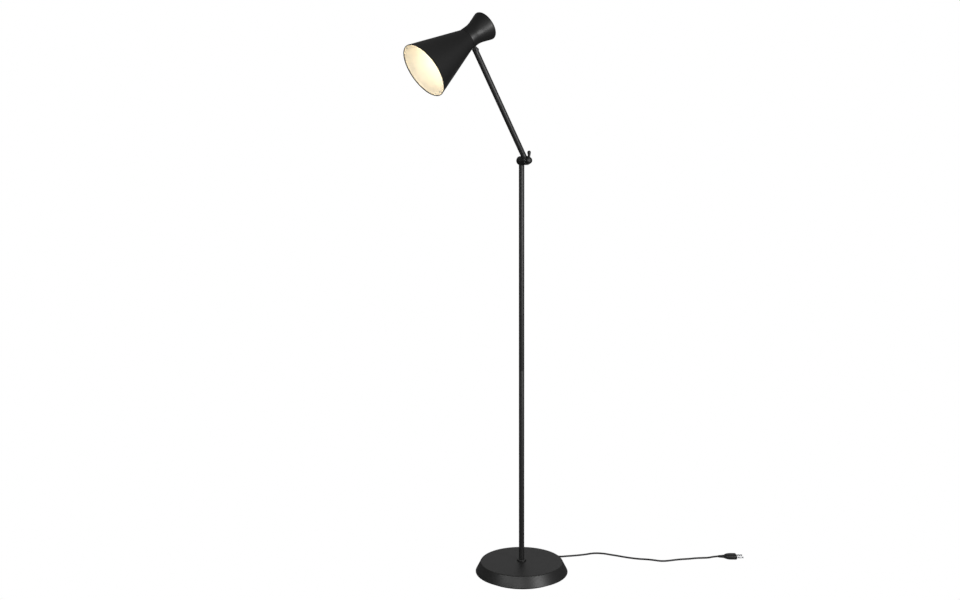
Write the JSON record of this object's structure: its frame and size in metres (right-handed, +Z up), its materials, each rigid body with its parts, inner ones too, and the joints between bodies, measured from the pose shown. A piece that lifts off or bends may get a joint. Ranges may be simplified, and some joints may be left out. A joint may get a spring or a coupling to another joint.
{
  "type": "adjustable arm floor lamp",
  "caption": "Black floor lamp with a round weighted base, slim pole, clamped tilting arm, waisted conical spot shade and mains cord.",
  "frame": {"origin": "centre of the foot's underside, on the pole's axis", "axes": "+Z up along the pole; the arm and the shade lean towards -X; every tilt axis runs along Y; the clamp lever is on the -Y side"},
  "size_m": [0.9479, 0.4246, 1.4947],
  "materials": {
    "satin_black": "fine matte black lacquer",
    "black_plastic": "matte black moulded plastic",
    "cord": "matte black round cord",
    "felt": "black felt-like foam",
    "cast_iron": "rough casting, unseen",
    "steel": "bright zinc plated",
    "opal_glass": "opal bulb",
    "lead": "thin white lead, unseen"
  },
  "bodies": {
    "stand": {"foot_pad": "felt", "base_plate": "satin_black", "base_weight": "cast_iron", "base_cover": "satin_black", "base_stud": "steel", "stud_washer": "steel", "stud_nut": "steel", "base_collar": "satin_black", "cord_gland": "black_plastic", "base_lead": "lead", "pole_socket": "steel", "lower_pole": "satin_black", "pole_coupling": "steel", "upper_pole": "satin_black", "pole_lead": "lead", "pole_knuckle": "satin_black", "friction_washer": "black_plastic", "outer_washer": "steel", "joint_bolt": "steel", "cord_lead_in": "cord", "cord_hank": "cord", "cord_tie": "black_plastic", "cord_lead_out": "cord", "plug_body": "black_plastic", "plug_pin_a": "steel", "plug_pin_b": "steel"},
    "lever": {"clamp_lever": "black_plastic"},
    "arm": {"arm_knuckle": "satin_black", "arm_tube": "satin_black", "arm_lead": "lead", "arm_fork": "satin_black", "head_pin": "steel", "head_pin_nut": "steel"},
    "head": {"head_bracket": "steel", "shade_cone": "satin_black", "rear_shell": "satin_black", "rear_cap": "satin_black", "lamp_holder": "black_plastic", "holder_ring": "black_plastic", "bulb_cap": "steel", "bulb_globe": "opal_glass", "switch_body": "black_plastic", "switch_nut": "steel"},
    "button": {"switch_button": "black_plastic"}
  },
  "joints": [
    {"name": "arm_tilt", "type": "hinge", "parent": "stand", "child": "arm", "pos_m": [0, -0.02, 1.128], "axis": [0, 1, 0], "range_deg": [-80, 30]},
    {"name": "lever_turn", "type": "hinge", "parent": "stand", "child": "lever", "pos_m": [0, -0.0354, 1.128], "axis": [0, 1, 0], "range_deg": [-120, 0]},
    {"name": "head_tilt", "type": "hinge", "parent": "arm", "child": "head", "pos_m": [-0.15175, -0.02, 1.40176], "axis": [0, 1, 0], "range_deg": [-60, 60]},
    {"name": "switch_press", "type": "slide", "parent": "head", "child": "button", "axis": [-0.829, 0, -0.5592], "range_m": [0, 0.0025], "stiffness_N_per_m": 600, "springref_m": -0.0015}
  ]
}
